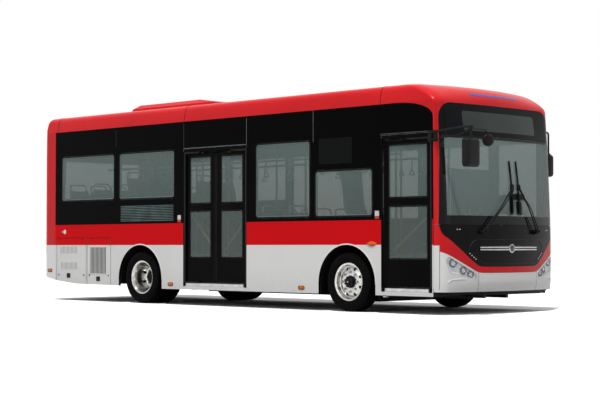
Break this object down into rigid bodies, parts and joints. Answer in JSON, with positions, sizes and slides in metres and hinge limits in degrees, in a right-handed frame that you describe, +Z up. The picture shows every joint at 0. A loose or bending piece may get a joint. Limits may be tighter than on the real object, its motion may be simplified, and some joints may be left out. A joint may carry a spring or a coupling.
{
  "type": "city bus",
  "caption": "Low-entry single-deck city bus body on a two-axle chassis, with gliding doors, steered front wheels and hinged service doors.",
  "frame": {"origin": "on the ground under the middle of the overall box", "axes": "+X towards the nose, +Y to the driver's side, +Z up"},
  "size_m": [9.35, 2.84, 3.168],
  "materials": {
    "red_paint": "gloss",
    "pale_paint": "gloss",
    "black_gloss": "gloss",
    "tinted_glass": "polished",
    "chassis_paint": "satin",
    "floor_vinyl": "matte",
    "housing_plastic": "matte",
    "lamp_lens": "clear",
    "red_lens": "clear",
    "seat_fabric": "woven",
    "rail_paint": "gloss",
    "trim_plastic": "satin",
    "door_paint": "satin",
    "tyre_rubber": "matte",
    "rim_alloy": "polished",
    "spring_rubber": "matte",
    "track_alloy": "brushed",
    "pack_metal": "satin"
  },
  "bodies": {
    "bus_body": {"underframe": "chassis_paint", "cabin_floor": "floor_vinyl", "wheel_housings": "housing_plastic", "right_wall": "red_paint", "left_wall": "red_paint", "roof_panel": "red_paint", "front_cap": "red_paint", "front_band": "red_paint", "front_mask": "black_gloss", "front_bumper": "pale_paint", "windscreen": "tinted_glass", "right_windows": "tinted_glass", "left_windows": "tinted_glass", "rear_window": "tinted_glass", "rear_cap": "red_paint", "rear_bumper": "pale_paint", "headlamps": "lamp_lens", "tail_lamps": "red_lens", "roof_pod": "red_paint", "driver_seat": "seat_fabric", "passenger_seats": "seat_fabric", "grab_rails": "rail_paint", "dashboard": "trim_plastic", "cab_partition": "trim_plastic", "right_mirror": "housing_plastic", "left_mirror": "housing_plastic", "wipers": "housing_plastic", "battery_pack": "pack_metal", "drive_motor": "pack_metal", "air_springs": "spring_rubber", "front_axle": "chassis_paint", "rear_axle": "chassis_paint", "door_tracks": "track_alloy"},
    "left_knuckle": {"left_knuckle": "chassis_paint"},
    "right_knuckle": {"right_knuckle": "chassis_paint"},
    "tie_rod": {"tie_rod": "chassis_paint"},
    "steering_wheel": {"steering_wheel": "trim_plastic"},
    "front_left_wheel": {"front_left_tyre": "tyre_rubber", "front_left_wheel": "rim_alloy"},
    "front_right_wheel": {"front_right_tyre": "tyre_rubber", "front_right_wheel": "rim_alloy"},
    "rear_left_wheels": {"rear_left_tyres": "tyre_rubber", "rear_left_wheels": "rim_alloy"},
    "rear_right_wheels": {"rear_right_tyres": "tyre_rubber", "rear_right_wheels": "rim_alloy"},
    "front_door_post": {"front_door_post": "door_paint"},
    "front_door_leaf": {"front_door_leaf": "door_paint", "front_door_glass": "tinted_glass"},
    "rear_door_aft_post": {"rear_door_aft_post": "door_paint"},
    "rear_door_aft_leaf": {"rear_door_aft_leaf": "door_paint", "rear_door_aft_glass": "tinted_glass"},
    "rear_door_fore_post": {"rear_door_fore_post": "door_paint"},
    "rear_door_fore_leaf": {"rear_door_fore_leaf": "door_paint", "rear_door_fore_glass": "tinted_glass"},
    "aft_service_door": {"aft_service_door": "pale_paint"},
    "fore_service_door": {"fore_service_door": "pale_paint"},
    "engine_door": {"engine_door": "red_paint"}
  },
  "joints": [
    {"name": "steering", "type": "hinge", "parent": "bus_body", "child": "left_knuckle", "pos_m": [2.395, 0.93, 0.41], "axis": [0, 0, 1], "range_deg": [-40, 40]},
    {"name": "right_steering", "type": "hinge", "parent": "bus_body", "child": "right_knuckle", "pos_m": [2.395, -0.93, 0.41], "axis": [0, 0, 1], "range_deg": [-40, 40]},
    {"name": "tie_rod_pivot", "type": "hinge", "parent": "left_knuckle", "child": "tie_rod", "pos_m": [2.235, 0.93, 0.16], "axis": [0, 0, 1], "range_deg": [-40, 40]},
    {"name": "steering_wheel_turn", "type": "hinge", "parent": "bus_body", "child": "steering_wheel", "pos_m": [3.615, 0.6, 1.12], "axis": [-0.6139, 0, 0.7894], "range_deg": [-720, 720]},
    {"name": "front_left_spin", "type": "hinge", "parent": "left_knuckle", "child": "front_left_wheel", "pos_m": [2.395, 1.0775, 0.41], "axis": [0, 1, 0], "continuous": true},
    {"name": "front_right_spin", "type": "hinge", "parent": "right_knuckle", "child": "front_right_wheel", "pos_m": [2.395, -1.0775, 0.41], "axis": [0, 1, 0], "continuous": true},
    {"name": "rear_left_spin", "type": "hinge", "parent": "bus_body", "child": "rear_left_wheels", "pos_m": [-2.07, 1.0775, 0.41], "axis": [0, 1, 0], "continuous": true},
    {"name": "rear_right_spin", "type": "hinge", "parent": "bus_body", "child": "rear_right_wheels", "pos_m": [-2.07, -1.0775, 0.41], "axis": [0, 1, 0], "continuous": true},
    {"name": "front_door_turn", "type": "hinge", "parent": "bus_body", "child": "front_door_post", "pos_m": [3.899, -1.209, 1.3], "axis": [0, 0, -1], "range_deg": [0, 85]},
    {"name": "front_door_fold", "type": "hinge", "parent": "front_door_post", "child": "front_door_leaf", "pos_m": [3.4905, -1.209, 1.3], "axis": [0, 0, -1], "range_deg": [-170, 0]},
    {"name": "rear_door_aft_turn", "type": "hinge", "parent": "bus_body", "child": "rear_door_aft_post", "pos_m": [-1.003, -1.209, 1.3], "axis": [0, 0, 1], "range_deg": [0, 85]},
    {"name": "rear_door_aft_fold", "type": "hinge", "parent": "rear_door_aft_post", "child": "rear_door_aft_leaf", "pos_m": [-0.68325, -1.209, 1.3], "axis": [0, 0, 1], "range_deg": [-170, 0]},
    {"name": "rear_door_fore_turn", "type": "hinge", "parent": "bus_body", "child": "rear_door_fore_post", "pos_m": [0.366, -1.209, 1.3], "axis": [0, 0, -1], "range_deg": [0, 85]},
    {"name": "rear_door_fore_fold", "type": "hinge", "parent": "rear_door_fore_post", "child": "rear_door_fore_leaf", "pos_m": [0.04625, -1.209, 1.3], "axis": [0, 0, -1], "range_deg": [-170, 0]},
    {"name": "aft_service_door_lift", "type": "hinge", "parent": "bus_body", "child": "aft_service_door", "pos_m": [-3.868, -1.22, 1.03], "axis": [-1, 0, 0], "range_deg": [0, 85]},
    {"name": "fore_service_door_lift", "type": "hinge", "parent": "bus_body", "child": "fore_service_door", "pos_m": [-3.124, -1.22, 1.03], "axis": [-1, 0, 0], "range_deg": [0, 85]},
    {"name": "engine_door_lift", "type": "hinge", "parent": "bus_body", "child": "engine_door", "pos_m": [-4.67, 0, 1.225], "axis": [0, 1, 0], "range_deg": [0, 80]}
  ],
  "couplings": [
    {"joint": "right_steering", "follows": "steering", "ratio": 1},
    {"joint": "tie_rod_pivot", "follows": "steering", "ratio": -1},
    {"joint": "steering_wheel_turn", "follows": "steering", "ratio": 18},
    {"joint": "front_door_fold", "follows": "front_door_turn", "ratio": -2},
    {"joint": "rear_door_aft_fold", "follows": "rear_door_aft_turn", "ratio": -2},
    {"joint": "rear_door_fore_fold", "follows": "rear_door_fore_turn", "ratio": -2}
  ]
}
